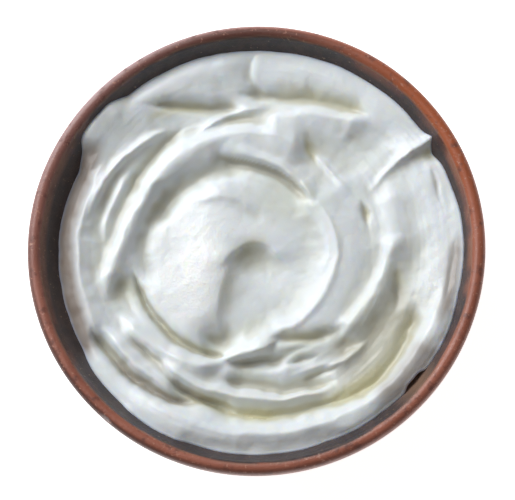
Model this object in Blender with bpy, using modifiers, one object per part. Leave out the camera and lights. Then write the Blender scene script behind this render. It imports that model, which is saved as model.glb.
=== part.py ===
"""Bowl of labneh: a turned clay bowl, filled to just under its lip with spooned labneh.

Units are metres and +Z is up. The origin is the middle of the bowl's foot, where it stands.
"""

import math
from collections import namedtuple

import bmesh
import bpy
import numpy as np

OBJECT_NAME = "labneh_bowl"
MM = 0.001
GAP = 0.0004

# Clay bowl
RIM_RADIUS = 0.075
BOWL_HEIGHT = 0.050
LIP_WIDTH = 0.0045
LIP_BAND = 0.0038
FLOOR_RADIUS = 0.016
FLOOR_HEIGHT = 0.008
INNER_WALL_POWER = 2.1
OUTER_WALL_POWER = 1.6
FOOT_RADIUS = 0.033
FOOT_HEIGHT = 0.0065
FOOT_TAPER = 0.0012
FOOT_BEVEL = 0.0010
FOOT_WIDTH = 0.0035
RECESS_HEIGHT = 0.003
INNER_WALL_STEPS = 9
OUTER_WALL_STEPS = 6
LIP_STEPS = 6
BOWL_SIDES = 64
SHARP_ANGLE = math.radians(40)

# Labneh
LABNEH_CELLS = 60
MIDDLE_DEPTH = 10.0
BANK_RISE = 3.4
RELIEF = 0.85
BANK_START = 46.0
BANK_WIDTH = 18.0
SKIRT_RINGS = 5
POCKET_ANGLE = 319.0
POCKET_HALF_ANGLE = 3.8
POCKET_WIDTH = 0.0022
POCKET_REACH = 0.45
EDGE_PASSES = 12

CENTRE = (0.0, 0.0)

# One pass of the spoon. Angles are in degrees, counted from +X, and lengths in millimetres.
# The crest runs from the start angle and radius to the end ones and swells by bow halfway.
# A height below zero is a groove. inner and outer are the widths of its two flanks.
Stroke = namedtuple(
    "Stroke",
    "start end start_radius end_radius bow height inner outer centre",
    defaults=[CENTRE],
)

# A soft swell or dent of oval plan, in millimetres and degrees
Swell = namedtuple("Swell", "x y long short turn height")

MIDDLE_STROKES = {
    "mound": Stroke(120, 230, 36.5, 38.5, -12.0, 1.0, 8.0, 9.0, (10, -2)),
    "mound_edge": Stroke(156, 198, 50.4, 54.6, 0.0, 1.6, 2.4, 8.0, (40, -18)),
    "comma_hook": Stroke(-8, 196, 11.8, 11.6, -4.0, 1.9, 1.8, 6.5, (-1, -5)),
    "spoon_lip": Stroke(-96, 58, 31.2, 25.8, -1.2, 3.4, 6.0, 11.0),
    "lip_shadow": Stroke(276, 320, 30.0, 40.0, -0.5, -2.9, 2.4, 2.2),
    "inner_ridge": Stroke(84, 146, 12.5, 29.5, -1.8, 1.6, 2.6, 4.0),
    "inner_groove": Stroke(76, 140, 9.0, 25.0, -1.2, -0.9, 2.5, 2.5),
}

NORTH_STROKES = {
    "north_ridge": Stroke(58, 156, 37.0, 41.5, 0.6, 4.4, 6.0, 4.5),
    "folded_lip": Stroke(38, 112, 25.4, 35.0, -1.9, 3.6, 1.2, 4.0),
    "lip_hollow": Stroke(41, 114, 23.9, 34.0, -1.7, -2.7, 2.2, 1.4),
    "north_trough": Stroke(92, 172, 28.0, 34.8, 0.6, -2.8, 4.0, 4.5),
    "thin_crest": Stroke(86, 118, 49.2, 44.2, 0.6, 1.9, 1.0, 1.8),
    "lobe_groove": Stroke(93, 128, 48.0, 62.5, -2.2, -3.0, 2.0, 2.4),
    "lobe_inner_ridge": Stroke(146, 178, 49.5, 50.5, 0.4, 1.9, 2.2, 1.5),
    "upper_lobe": Stroke(92, 150, 62.5, 65.5, 0.0, 1.5, 6.5, 3.4),
    "lobe_shoulder": Stroke(128, 153, 68.5, 68.5, 0.0, 3.2, 4.0, 6.0),
    "top_fold": Stroke(115, 275, 6.5, 5.2, 2.6, -1.3, 1.3, 3.5, (6, 61)),
}

WEST_STROKES = {
    "left_ridge": Stroke(140, 200, 41.2, 53.4, -4.6, 4.2, 3.8, 3.4),
    "left_trough": Stroke(146, 204, 36.0, 36.6, 0.3, -1.0, 3.0, 3.0),
    "second_ridge": Stroke(124, 170, 50.6, 57.4, 0.3, 2.4, 1.2, 1.8),
    "second_groove": Stroke(118, 160, 48.8, 46.8, -0.4, -1.9, 1.4, 1.5),
    "west_bank": Stroke(146, 220, 69, 69, 0.0, -5.0, 5.5, 7.0),
    "west_rim_crest": Stroke(148, 214, 58.6, 58.4, 0.2, 1.8, 3.0, 1.6),
}

SOUTH_STROKES = {
    "south_west_ridge": Stroke(203, 256, 50.0, 40.0, 0.6, 3.4, 3.2, 2.6),
    "mound_foot": Stroke(188, 256, 41.5, 37.0, 0.2, -3.8, 1.5, 1.8),
    "thin_crease": Stroke(212, 234, 50.9, 49.0, -0.3, -2.2, 0.9, 1.0),
    "outer_south_west": Stroke(206, 244, 56.2, 54.5, 0.0, 2.6, 3.4, 1.8),
    "outer_crease": Stroke(203, 253, 59.4, 54.0, 1.8, -4.8, 2.6, 1.5),
    "under_crest": Stroke(234, 266, 51.4, 52.6, 0.2, -3.4, 1.2, 1.5),
    "south_crest": Stroke(228, 300, 48.4, 52.0, -0.8, 3.8, 2.8, 1.6),
    "south_hollow": Stroke(254, 302, 44.6, 51.0, -1.4, -4.8, 3.6, 2.0),
    "fold_lobe": Stroke(248, 286, 38.8, 30.6, 0.4, 4.0, 5.0, 1.0),
    "fold_shadow": Stroke(252, 292, 39.0, 36.6, -0.4, -3.4, 1.8, 2.8),
    "whey_groove": Stroke(244, 300, 53.0, 56.6, -0.2, -2.9, 2.0, 1.5),
    "south_edge": Stroke(246, 296, 67.0, 67.0, 0.0, -1.4, 4.0, 6.0),
    "south_swell": Stroke(222, 352, 60.3, 63.0, 0.8, 3.5, 3.0, 9.0),
}

EAST_STROKES = {
    "right_ridge": Stroke(-52, 7, 41.5, 47.5, -2.6, 3.6, 3.4, 4.4),
    "right_groove": Stroke(-27, -7, 50.0, 47.2, 0.0, -1.6, 2.0, 2.0),
    "right_plateau": Stroke(-6, 30, 46, 48, 0.0, 2.4, 5.0, 5.0),
    "right_streak": Stroke(9, 27, 38, 39, 0.0, -1.8, 1.1, 1.0),
    "whey_groove_end": Stroke(290, 342, 56.0, 55.0, 3.2, -3.0, 2.6, 1.9),
    "east_bank": Stroke(-40, 18, 69, 69, 0.0, 0.9, 4.5, 6.0),
    "wall_crease": Stroke(-18, 4, 64.6, 65.2, -0.5, -0.7, 1.0, 1.2),
    "small_fold": Stroke(12, 26, 62.4, 64.5, 0.0, -1.0, 0.9, 1.2),
    "south_east_crest": Stroke(296, 322, 45.2, 48.1, 0.0, 2.4, 1.0, 2.2),
    "south_east_dent": Stroke(282, 302, 38.4, 41.4, 0.0, -1.6, 1.4, 1.6),
    "south_east_bump": Stroke(282, 304, 43.0, 45.0, 0.0, 1.0, 0.9, 1.2),
    "south_east_pit": Stroke(285, 309, 44.7, 47.6, 0.0, -2.0, 1.2, 1.2),
}

NORTH_EAST_STROKES = {
    "tip_ridge": Stroke(108, 126, 101.6, 97.6, -0.2, 2.2, 1.4, 3.0, (100, -54)),
    "tip_tail": Stroke(117, 131, 99.4, 96.4, 0.0, 1.0, 1.0, 1.6, (100, -54)),
    "tip_valley": Stroke(116, 137, 107, 107, 0.0, -0.5, 3.0, 4.0, (100, -54)),
    "north_east_groove": Stroke(48, 98, 60.0, 54.5, -3.0, -2.6, 2.2, 2.6),
    "north_east_bank": Stroke(37, 98, 62.5, 62.5, 0.0, 0.5, 3.4, 3.6),
    "plateau": Stroke(44, 90, 58.0, 43.5, -1.8, 3.0, 6.0, 3.0),
    "v_crease": Stroke(185, 205, 40, 40, 0.0, -0.6, 1.8, 1.2, (56.7, 44.1)),
    "narrow_ridge": Stroke(28, 66, 37.3, 39, -1.8, 1.0, 1.2, 2.0),
}

SWELLS = {
    "mound_dome": Swell(-16, -5, 23, 13, 80, 2.3),
    "central_hollow": Swell(9, -10, 18, 15, -40, -1.6),
    "deep_scoop": Swell(-1, -3.5, 7, 5, -20, -2.5),
    "left_pit": Swell(-44.5, -13, 8.0, 5.0, -60, -2.8),
    "mound_end": Swell(-13, -29.5, 5.0, 4.5, 0, -5.4),
    "bright_blob": Swell(44, 1, 4, 3, 0, 1.2),
    "tip_pit": Swell(58, 31, 4.5, 3, 0, -1.8),
    "thin_pit": Swell(-7, 45, 6, 2.2, 0, -2.0),
    "east_hollow": Swell(27, 32.5, 8, 5, -30, -1.4),
    "lobe_hollow": Swell(-48, 40, 8, 5, 40, -0.6),
    "south_west_rise": Swell(-21, -40, 8.5, 4, 150, 1.4),
    "south_pit": Swell(29, -32, 4, 2.5, 35, -2.2),
}

ALL_STROKES = [
    stroke
    for group in (
        MIDDLE_STROKES,
        NORTH_STROKES,
        WEST_STROKES,
        SOUTH_STROKES,
        EAST_STROKES,
        NORTH_EAST_STROKES,
    )
    for stroke in group.values()
]

SOFTEST_CREST = 2.0
SHARPEST_CREST = 1.4
CREST_SOFTENING = 0.15
END_LENGTH = 9.0
END_WIDTH = 0.55
FINEST_FLANK = 1.7


def smooth_step(value):
    """Rise gently from 0 at 0 to 1 at 1."""
    value = np.clip(value, 0.0, 1.0)
    return value * value * (3.0 - 2.0 * value)


def stroke_height(stroke, x, y):
    """Height that one spoon stroke adds at x and y, in millimetres."""
    across = x - stroke.centre[0]
    up = y - stroke.centre[1]
    radius = np.hypot(across, up)
    span = math.radians(stroke.end - stroke.start)
    middle = math.radians(0.5 * (stroke.start + stroke.end))
    turn = np.arctan2(
        up * math.cos(middle) - across * math.sin(middle),
        across * math.cos(middle) + up * math.sin(middle),
    )
    reach = 0.5 + turn / span
    along = np.clip(reach, 0.0, 1.0)
    growth = stroke.end_radius - stroke.start_radius
    crest = stroke.start_radius + growth * along + 4.0 * stroke.bow * along * (1.0 - along)
    slope = (growth + 4.0 * stroke.bow * (1.0 - 2.0 * along)) / (span * crest)
    offset = (radius - crest) / np.sqrt(1.0 + slope * slope)
    length = span * 0.5 * (stroke.start_radius + stroke.end_radius)
    fade_share = min(0.5, max(0.15, END_LENGTH / length))
    fade = smooth_step(np.minimum(reach, 1.0 - reach) / fade_share)
    inner = max(stroke.inner, FINEST_FLANK)
    outer = max(stroke.outer, FINEST_FLANK)
    width = np.where(offset < 0.0, inner, outer)
    width = width * (END_WIDTH + (1.0 - END_WIDTH) * fade)
    power = min(SHARPEST_CREST + CREST_SOFTENING * min(inner, outer), SOFTEST_CREST)
    return stroke.height * fade * np.exp(-((np.abs(offset) / width) ** power))


def swell_height(swell, x, y):
    """Height that one soft swell adds at x and y, in millimetres."""
    turn = math.radians(swell.turn)
    across = (x - swell.x) * math.cos(turn) + (y - swell.y) * math.sin(turn)
    up = (y - swell.y) * math.cos(turn) - (x - swell.x) * math.sin(turn)
    return swell.height * np.exp(-((across / swell.long) ** 2) - (up / swell.short) ** 2)


def labneh_top(x, y):
    """Height of the labneh's surface above the table at x and y, all in metres."""
    x = np.asarray(x, dtype=float) / MM
    y = np.asarray(y, dtype=float) / MM
    bank = smooth_step((np.hypot(x, y) - BANK_START) / BANK_WIDTH)
    relief = np.zeros(np.shape(x))
    for stroke in ALL_STROKES:
        relief = relief + stroke_height(stroke, x, y)
    for swell in SWELLS.values():
        relief = relief + swell_height(swell, x, y)
    depth = MIDDLE_DEPTH - BANK_RISE * bank - RELIEF * relief
    return BOWL_HEIGHT - depth * MM


def inner_wall():
    """Profile of the bowl's inside, from the middle of its floor up to the lip."""
    lip_radius = RIM_RADIUS - LIP_WIDTH
    lip_height = BOWL_HEIGHT - 0.5 * LIP_WIDTH
    points = [(0.0, FLOOR_HEIGHT), (FLOOR_RADIUS, FLOOR_HEIGHT)]
    for step in range(1, INNER_WALL_STEPS + 1):
        share = step / INNER_WALL_STEPS
        radius = FLOOR_RADIUS + (lip_radius - FLOOR_RADIUS) * share
        height = FLOOR_HEIGHT + (lip_height - FLOOR_HEIGHT) * share**INNER_WALL_POWER
        points.append((radius, height))
    return points


def lip():
    """Profile of the rounded lip, without its first point, which ends the inner wall."""
    half = 0.5 * LIP_WIDTH
    points = []
    for step in range(1, LIP_STEPS + 1):
        angle = math.pi * (1.0 - step / LIP_STEPS)
        radius = RIM_RADIUS - half + half * math.cos(angle)
        points.append((radius, BOWL_HEIGHT - half + half * math.sin(angle)))
    return points


def outer_wall():
    """Profile of the outside, from under the lip's band down to the top of the foot."""
    top = BOWL_HEIGHT - 0.5 * LIP_WIDTH - LIP_BAND
    points = []
    for step in range(OUTER_WALL_STEPS, -1, -1):
        share = step / OUTER_WALL_STEPS
        radius = FOOT_RADIUS + (RIM_RADIUS - FOOT_RADIUS) * share
        points.append((radius, FOOT_HEIGHT + (top - FOOT_HEIGHT) * share**OUTER_WALL_POWER))
    return points


def foot():
    """Profile of the foot ring and of the recess under the floor, in to the axis."""
    outside = FOOT_RADIUS - FOOT_TAPER
    inside = outside - FOOT_BEVEL - FOOT_WIDTH
    return [
        (outside, FOOT_BEVEL),
        (outside - FOOT_BEVEL, 0.0),
        (inside, 0.0),
        (inside - FOOT_BEVEL, FOOT_BEVEL),
        (inside - 2.0 * FOOT_BEVEL, RECESS_HEIGHT),
        (0.0, RECESS_HEIGHT),
    ]


def inner_radius(height):
    """Radius of the bowl's inside at a height, in metres."""
    radii, heights = zip(*inner_wall()[1:])
    return np.interp(height, heights, radii)


def pocket_inset(angle):
    """How far the labneh's edge stands off the wall at an angle in radians, in metres."""
    turn = np.degrees(np.angle(np.exp(1j * (angle - math.radians(POCKET_ANGLE)))))
    return POCKET_WIDTH * np.exp(-((turn / POCKET_HALF_ANGLE) ** 4))


def labneh_edge(angle):
    """Radius and height of the line where the labneh meets the wall, in metres."""
    radius = np.full(np.shape(angle), RIM_RADIUS - 2.0 * LIP_WIDTH)
    for _ in range(EDGE_PASSES):
        height = labneh_top(radius * np.cos(angle), radius * np.sin(angle))
        target = inner_radius(height) - GAP - pocket_inset(angle)
        radius = 0.5 * (radius + target)
    return radius, labneh_top(radius * np.cos(angle), radius * np.sin(angle))


def disc_polar(u, v):
    """Turn a point of a square from -1 to 1 into a share of the radius and an angle."""
    share = np.maximum(np.abs(u), np.abs(v))
    wide = np.abs(u) >= np.abs(v)
    base = np.where(wide, u, v)
    ratio = np.where(wide, v, u) / np.where(base == 0.0, 1.0, base)
    quarter = math.pi / 4.0
    angle = np.where(wide, quarter * ratio, 2.0 * quarter - quarter * ratio)
    angle = angle + np.where(base < 0.0, math.pi, 0.0)
    return share, angle


def make_material(name, colour, roughness):
    """Principled material of one colour."""
    material = bpy.data.materials.new(name)
    material.use_nodes = True
    shader = material.node_tree.nodes["Principled BSDF"]
    shader.inputs["Base Color"].default_value = (*colour, 1.0)
    shader.inputs["Roughness"].default_value = roughness
    shader.inputs["Metallic"].default_value = 0.0
    return material


def add_object(name, mesh, material, collection):
    """Link a mesh to the collection as a smooth shaded object."""
    mesh.shade_smooth()
    mesh.set_sharp_from_angle(angle=SHARP_ANGLE)
    mesh.materials.append(material)
    shape = bpy.data.objects.new(name, mesh)
    collection.objects.link(shape)
    return shape


def build_bowl(collection):
    """Clay bowl, turned from one closed profile."""
    profile = inner_wall() + lip() + outer_wall() + foot()
    outline = bmesh.new()
    verts = [outline.verts.new((radius, 0.0, height)) for radius, height in profile]
    for first, second in zip(verts, verts[1:]):
        outline.edges.new((first, second))
    mesh = bpy.data.meshes.new("bowl")
    outline.to_mesh(mesh)
    outline.free()
    clay = make_material("clay", (0.30, 0.11, 0.07), 0.6)
    bowl = add_object("bowl", mesh, clay, collection)
    turning = bowl.modifiers.new("Turning", "SCREW")
    turning.axis = "Z"
    turning.angle = math.tau
    turning.steps = BOWL_SIDES
    turning.render_steps = BOWL_SIDES
    turning.use_merge_vertices = True
    turning.merge_threshold = 0.00001
    turning.use_smooth_shade = True
    return bowl


def place_top(shape):
    """Spread the square grid over the bowl's opening and lift it to the spooned surface."""
    verts = list(shape.verts)
    u = np.array([vert.co.x for vert in verts])
    v = np.array([vert.co.y for vert in verts])
    share, angle = disc_polar(u, v)
    radius, _ = labneh_edge(angle)
    x = share * radius * np.cos(angle)
    y = share * radius * np.sin(angle)
    for vert, place in zip(verts, zip(x, y, labneh_top(x, y))):
        vert.co = place


def add_skirt(shape):
    """Draw the labneh's edge down along the bowl's inside and close it over the floor."""
    edges = [edge for edge in shape.edges if edge.is_boundary]
    for ring in range(1, SKIRT_RINGS + 1):
        sunk = ring / SKIRT_RINGS
        grown = bmesh.ops.extrude_edge_only(shape, edges=edges)["geom"]
        edges = [item for item in grown if isinstance(item, bmesh.types.BMEdge)]
        verts = [item for item in grown if isinstance(item, bmesh.types.BMVert)]
        angle = np.array([math.atan2(vert.co.y, vert.co.x) for vert in verts])
        _, edge_height = labneh_edge(angle)
        height = FLOOR_HEIGHT + (edge_height - FLOOR_HEIGHT) * (1.0 - sunk) ** 2
        closing = smooth_step(1.0 - sunk / POCKET_REACH)
        radius = inner_radius(height) - GAP - pocket_inset(angle) * closing
        x = radius * np.cos(angle)
        y = radius * np.sin(angle)
        for vert, place in zip(verts, zip(x, y, height + GAP)):
            vert.co = place
    base = bmesh.ops.holes_fill(shape, edges=edges, sides=0)["faces"]
    bmesh.ops.poke(shape, faces=base)


def build_labneh(collection):
    """Labneh as one closed solid that fills the bowl up to its spooned surface."""
    shape = bmesh.new()
    bmesh.ops.create_grid(shape, x_segments=LABNEH_CELLS, y_segments=LABNEH_CELLS, size=1.0)
    place_top(shape)
    add_skirt(shape)
    bmesh.ops.triangulate(shape, faces=list(shape.faces), quad_method="BEAUTY")
    bmesh.ops.recalc_face_normals(shape, faces=list(shape.faces))
    mesh = bpy.data.meshes.new("labneh")
    shape.to_mesh(mesh)
    shape.free()
    cream = make_material("cream", (0.86, 0.86, 0.82), 0.35)
    return add_object("labneh", mesh, cream, collection)


def clear_scene():
    """Remove every object that the scene holds."""
    for item in list(bpy.data.objects):
        bpy.data.objects.remove(item, do_unlink=True)


def main():
    """Build the filled bowl in a collection of its own."""
    clear_scene()
    collection = bpy.data.collections.new(OBJECT_NAME)
    bpy.context.scene.collection.children.link(collection)
    build_bowl(collection)
    build_labneh(collection)


main()
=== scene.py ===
"""Looks of a clay bowl filled with spooned labneh.

Units are metres and +Z is up. The origin is the middle of the bowl's foot, where it stands.
"""

import math
from collections import namedtuple

import bmesh
import bpy
import numpy as np
from mathutils import Matrix, Vector


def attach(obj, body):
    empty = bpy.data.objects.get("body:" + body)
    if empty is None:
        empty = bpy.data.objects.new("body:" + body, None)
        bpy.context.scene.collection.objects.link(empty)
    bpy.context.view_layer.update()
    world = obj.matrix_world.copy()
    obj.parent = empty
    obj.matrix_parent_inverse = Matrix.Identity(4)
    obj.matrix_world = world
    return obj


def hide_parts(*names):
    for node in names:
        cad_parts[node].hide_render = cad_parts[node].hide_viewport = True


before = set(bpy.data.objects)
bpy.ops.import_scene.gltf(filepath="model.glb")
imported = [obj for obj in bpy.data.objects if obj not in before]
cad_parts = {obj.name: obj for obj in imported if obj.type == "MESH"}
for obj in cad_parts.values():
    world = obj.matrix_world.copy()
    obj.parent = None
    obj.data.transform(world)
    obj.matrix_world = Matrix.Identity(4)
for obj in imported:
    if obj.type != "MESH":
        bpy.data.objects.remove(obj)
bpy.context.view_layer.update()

MM = 0.001

# Clay bowl
RIM_RADIUS = 0.075
BOWL_HEIGHT = 0.050
LIP_WIDTH = 0.0045
LIP_BAND = 0.0038
FLOOR_RADIUS = 0.016
FLOOR_HEIGHT = 0.008
INNER_WALL_POWER = 2.1
OUTER_WALL_POWER = 1.6
FOOT_RADIUS = 0.033
FOOT_HEIGHT = 0.0065
FOOT_TAPER = 0.0012
FOOT_BEVEL = 0.0010
FOOT_WIDTH = 0.0035
RECESS_HEIGHT = 0.003
INNER_WALL_STEPS = 34
OUTER_WALL_STEPS = 20
LIP_STEPS = 14
BOWL_SIDES = 288
WELD_DISTANCE = 0.000001

# Labneh. Its depth, rise and bank are in millimetres.
LABNEH_CELLS = 300
MIDDLE_DEPTH = 10.0
BANK_RISE = 3.4
RELIEF = 0.85
BANK_START = 46.0
BANK_WIDTH = 18.0
EDGE_SHARE = 0.9999
FILM_HEIGHT = 0.0003
FILM_BITE = 0.0002
FILM_WIDTH = 0.0006
SKIRT_RINGS = 4
SKIRT_GAP = 0.0004
POCKET_ANGLE = 319.0
POCKET_HALF_ANGLE = 3.8
POCKET_WIDTH = 0.0022
POCKET_REACH = 0.45
EDGE_PASSES = 12
EDGE_STEPS = 1440

CENTRE = (0.0, 0.0)

# One pass of the spoon. Angles are in degrees, counted from +X, and lengths in millimetres.
# The crest runs from the start angle and radius to the end ones and swells by bow halfway.
# A height below zero is a groove. inner and outer are the widths of its two flanks.
Stroke = namedtuple(
    "Stroke",
    "start end start_radius end_radius bow height inner outer centre",
    defaults=[CENTRE],
)

# A soft swell or dent of oval plan, in millimetres and degrees
Swell = namedtuple("Swell", "x y long short turn height")

MIDDLE_STROKES = {
    "mound": Stroke(120, 230, 36.5, 38.5, -12.0, 1.0, 8.0, 9.0, (10, -2)),
    "mound_edge": Stroke(156, 198, 50.4, 54.6, 0.0, 1.6, 2.4, 8.0, (40, -18)),
    "comma_hook": Stroke(-8, 196, 11.8, 11.6, -4.0, 1.9, 1.8, 6.5, (-1, -5)),
    "spoon_lip": Stroke(-96, 58, 31.2, 25.8, -1.2, 3.4, 6.0, 11.0),
    "lip_shadow": Stroke(276, 320, 30.0, 40.0, -0.5, -2.9, 2.4, 2.2),
    "inner_ridge": Stroke(84, 146, 12.5, 29.5, -1.8, 1.6, 2.6, 4.0),
    "inner_groove": Stroke(76, 140, 9.0, 25.0, -1.2, -0.9, 2.5, 2.5),
}

NORTH_STROKES = {
    "north_ridge": Stroke(58, 156, 37.0, 41.5, 0.6, 4.4, 6.0, 4.5),
    "folded_lip": Stroke(38, 112, 25.4, 35.0, -1.9, 3.6, 1.2, 4.0),
    "lip_hollow": Stroke(41, 114, 23.9, 34.0, -1.7, -2.7, 2.2, 1.4),
    "north_trough": Stroke(92, 172, 28.0, 34.8, 0.6, -2.8, 4.0, 4.5),
    "thin_crest": Stroke(86, 118, 49.2, 44.2, 0.6, 1.9, 1.0, 1.8),
    "lobe_groove": Stroke(93, 128, 48.0, 62.5, -2.2, -3.0, 2.0, 2.4),
    "lobe_inner_ridge": Stroke(146, 178, 49.5, 50.5, 0.4, 1.9, 2.2, 1.5),
    "upper_lobe": Stroke(92, 150, 62.5, 65.5, 0.0, 1.5, 6.5, 3.4),
    "lobe_shoulder": Stroke(128, 153, 68.5, 68.5, 0.0, 3.2, 4.0, 6.0),
    "top_fold": Stroke(115, 275, 6.5, 5.2, 2.6, -1.3, 1.3, 3.5, (6, 61)),
}

WEST_STROKES = {
    "left_ridge": Stroke(140, 200, 41.2, 53.4, -4.6, 4.2, 3.8, 3.4),
    "left_trough": Stroke(146, 204, 36.0, 36.6, 0.3, -1.0, 3.0, 3.0),
    "second_ridge": Stroke(124, 170, 50.6, 57.4, 0.3, 2.4, 1.2, 1.8),
    "second_groove": Stroke(118, 160, 48.8, 46.8, -0.4, -1.9, 1.4, 1.5),
    "west_bank": Stroke(146, 220, 69, 69, 0.0, -5.0, 5.5, 7.0),
    "west_rim_crest": Stroke(148, 214, 58.6, 58.4, 0.2, 1.8, 3.0, 1.6),
}

SOUTH_STROKES = {
    "south_west_ridge": Stroke(203, 256, 50.0, 40.0, 0.6, 3.4, 3.2, 2.6),
    "mound_foot": Stroke(188, 256, 41.5, 37.0, 0.2, -3.8, 1.5, 1.8),
    "thin_crease": Stroke(212, 234, 50.9, 49.0, -0.3, -2.2, 0.9, 1.0),
    "outer_south_west": Stroke(206, 244, 56.2, 54.5, 0.0, 2.6, 3.4, 1.8),
    "outer_crease": Stroke(203, 253, 59.4, 54.0, 1.8, -4.8, 2.6, 1.5),
    "under_crest": Stroke(234, 266, 51.4, 52.6, 0.2, -3.4, 1.2, 1.5),
    "south_crest": Stroke(228, 300, 48.4, 52.0, -0.8, 3.8, 2.8, 1.6),
    "south_hollow": Stroke(254, 302, 44.6, 51.0, -1.4, -4.8, 3.6, 2.0),
    "fold_lobe": Stroke(248, 286, 38.8, 30.6, 0.4, 4.0, 5.0, 1.0),
    "fold_shadow": Stroke(252, 292, 39.0, 36.6, -0.4, -3.4, 1.8, 2.8),
    "whey_groove": Stroke(244, 300, 53.0, 56.6, -0.2, -2.9, 2.0, 1.5),
    "south_edge": Stroke(246, 296, 67.0, 67.0, 0.0, -1.4, 4.0, 6.0),
    "south_swell": Stroke(222, 352, 60.3, 63.0, 0.8, 3.5, 3.0, 9.0),
}

EAST_STROKES = {
    "right_ridge": Stroke(-52, 7, 41.5, 47.5, -2.6, 3.6, 3.4, 4.4),
    "right_groove": Stroke(-27, -7, 50.0, 47.2, 0.0, -1.6, 2.0, 2.0),
    "right_plateau": Stroke(-6, 30, 46, 48, 0.0, 2.4, 5.0, 5.0),
    "right_streak": Stroke(9, 27, 38, 39, 0.0, -1.8, 1.1, 1.0),
    "whey_groove_end": Stroke(290, 342, 56.0, 55.0, 3.2, -3.0, 2.6, 1.9),
    "east_bank": Stroke(-40, 18, 69, 69, 0.0, 0.9, 4.5, 6.0),
    "wall_crease": Stroke(-18, 4, 64.6, 65.2, -0.5, -0.7, 1.0, 1.2),
    "small_fold": Stroke(12, 26, 62.4, 64.5, 0.0, -1.0, 0.9, 1.2),
    "south_east_crest": Stroke(296, 322, 45.2, 48.1, 0.0, 2.4, 1.0, 2.2),
    "south_east_dent": Stroke(282, 302, 38.4, 41.4, 0.0, -1.6, 1.4, 1.6),
    "south_east_bump": Stroke(282, 304, 43.0, 45.0, 0.0, 1.0, 0.9, 1.2),
    "south_east_pit": Stroke(285, 309, 44.7, 47.6, 0.0, -2.0, 1.2, 1.2),
}

NORTH_EAST_STROKES = {
    "tip_ridge": Stroke(108, 126, 101.6, 97.6, -0.2, 2.2, 1.4, 3.0, (100, -54)),
    "tip_tail": Stroke(117, 131, 99.4, 96.4, 0.0, 1.0, 1.0, 1.6, (100, -54)),
    "tip_valley": Stroke(116, 137, 107, 107, 0.0, -0.5, 3.0, 4.0, (100, -54)),
    "north_east_groove": Stroke(48, 98, 60.0, 54.5, -3.0, -2.6, 2.2, 2.6),
    "north_east_bank": Stroke(37, 98, 62.5, 62.5, 0.0, 0.5, 3.4, 3.6),
    "plateau": Stroke(44, 90, 58.0, 43.5, -1.8, 3.0, 6.0, 3.0),
    "v_crease": Stroke(185, 205, 40, 40, 0.0, -0.6, 1.8, 1.2, (56.7, 44.1)),
    "narrow_ridge": Stroke(28, 66, 37.3, 39, -1.8, 1.0, 1.2, 2.0),
}

SWELLS = {
    "mound_dome": Swell(-16, -5, 23, 13, 80, 2.3),
    "central_hollow": Swell(9, -10, 18, 15, -40, -1.6),
    "deep_scoop": Swell(-1, -3.5, 7, 5, -20, -2.5),
    "left_pit": Swell(-44.5, -13, 8.0, 5.0, -60, -2.8),
    "mound_end": Swell(-13, -29.5, 5.0, 4.5, 0, -5.4),
    "bright_blob": Swell(44, 1, 4, 3, 0, 1.2),
    "tip_pit": Swell(58, 31, 4.5, 3, 0, -1.8),
    "thin_pit": Swell(-7, 45, 6, 2.2, 0, -2.0),
    "east_hollow": Swell(27, 32.5, 8, 5, -30, -1.4),
    "lobe_hollow": Swell(-48, 40, 8, 5, 40, -0.6),
    "south_west_rise": Swell(-21, -40, 8.5, 4, 150, 1.4),
    "south_pit": Swell(29, -32, 4, 2.5, 35, -2.2),
}

# Finer marks of the spoon, as above
FINE_STROKES = {
    "lip_fold": Stroke(58, 104, 26.9, 33.0, -1.2, 0.7, 0.7, 1.6),
    "spoon_edge": Stroke(-88, 40, 30.6, 25.9, -1.2, 0.8, 2.2, 1.0),
    "lip_notch": Stroke(58, 86, 25.2, 27.8, -0.3, -0.3, 0.9, 0.8),
    "crest_over_trough": Stroke(100, 122, 44.8, 47.6, 0.6, 0.5, 0.7, 1.0),
    "hollow_rim": Stroke(-30, 50, 23.6, 23.2, 0.0, 0.6, 1.6, 0.9),
    "south_flap": Stroke(279, 302, 32.6, 35.8, 0.0, 1.0, 0.8, 1.4),
    "south_flap_shadow": Stroke(281, 302, 34.8, 38.0, 0.0, -0.9, 0.8, 1.0),
    "fold_start_shadow": Stroke(241, 257, 37.6, 36.4, 0.0, -1.8, 1.2, 1.4),
    "outer_crease_line": Stroke(206, 250, 59.2, 54.4, 1.7, -1.2, 0.8, 0.9),
    "under_crest_line": Stroke(236, 264, 50.9, 52.4, 0.2, -1.6, 0.8, 0.9),
    "lobe_crown": Stroke(98, 130, 52.0, 65.5, -2.2, 1.0, 1.3, 4.0),
    "mound_foot_line": Stroke(192, 255, 41.4, 37.0, 0.2, -1.1, 0.8, 0.9),
    "south_west_edge": Stroke(210, 262, 68.5, 69.5, 0.0, -1.6, 2.5, 4.0),
    "south_east_edge": Stroke(284, 355, 69.5, 69.5, 0.0, -1.6, 2.5, 4.0),
}

FINE_SWELLS = {
    "lip_end": Swell(10.5, 24.5, 1.6, 0.9, -20, 0.7),
}

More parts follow.
